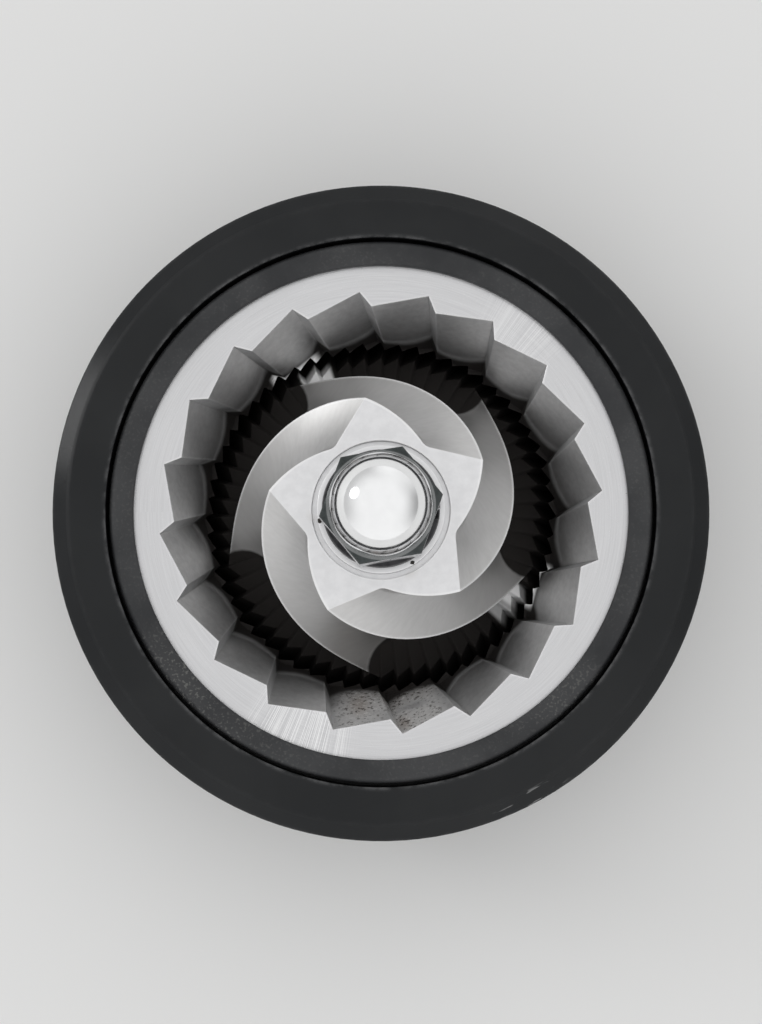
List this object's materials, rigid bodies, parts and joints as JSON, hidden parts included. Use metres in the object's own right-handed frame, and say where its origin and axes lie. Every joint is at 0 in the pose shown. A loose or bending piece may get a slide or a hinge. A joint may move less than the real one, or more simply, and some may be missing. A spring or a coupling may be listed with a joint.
{
  "type": "conical coffee grinder burr",
  "caption": "Conical coffee grinder burr: a vaned steel cone burr with a cap nut turns inside a toothed ring burr held in a black carrier collar with a gasket.",
  "frame": {"origin": "on the grinding axis, in the plane that the carrier stands on", "axes": "+Z up along the grinding axis, towards the cap nut; seen from above, +X is right and +Y is up in the picture"},
  "size_m": [0.062, 0.062, 0.0375],
  "materials": {
    "burr_steel": "ground steel, bright on the rim and satin in the pockets",
    "carrier_plastic": "satin black moulded plastic",
    "gasket_rubber": "dark rubber, dusty",
    "plated_steel": "bright plated steel",
    "spindle_steel": "turned steel",
    "black_steel": "blackened steel"
  },
  "bodies": {
    "carrier": {"burr_carrier": "carrier_plastic", "carrier_gasket": "gasket_rubber", "ring_burr": "burr_steel", "retaining_screw_1": "black_steel", "retaining_screw_2": "black_steel", "retaining_screw_3": "black_steel"},
    "cone": {"cone_burr": "burr_steel", "spindle": "spindle_steel", "flat_washer": "plated_steel", "spring_washer": "black_steel", "cap_nut": "plated_steel"}
  },
  "joints": [
    {"name": "cone_spin", "type": "hinge", "parent": "carrier", "child": "cone", "pos_m": [0, 0, 0], "axis": [0, 0, 1], "continuous": true}
  ]
}
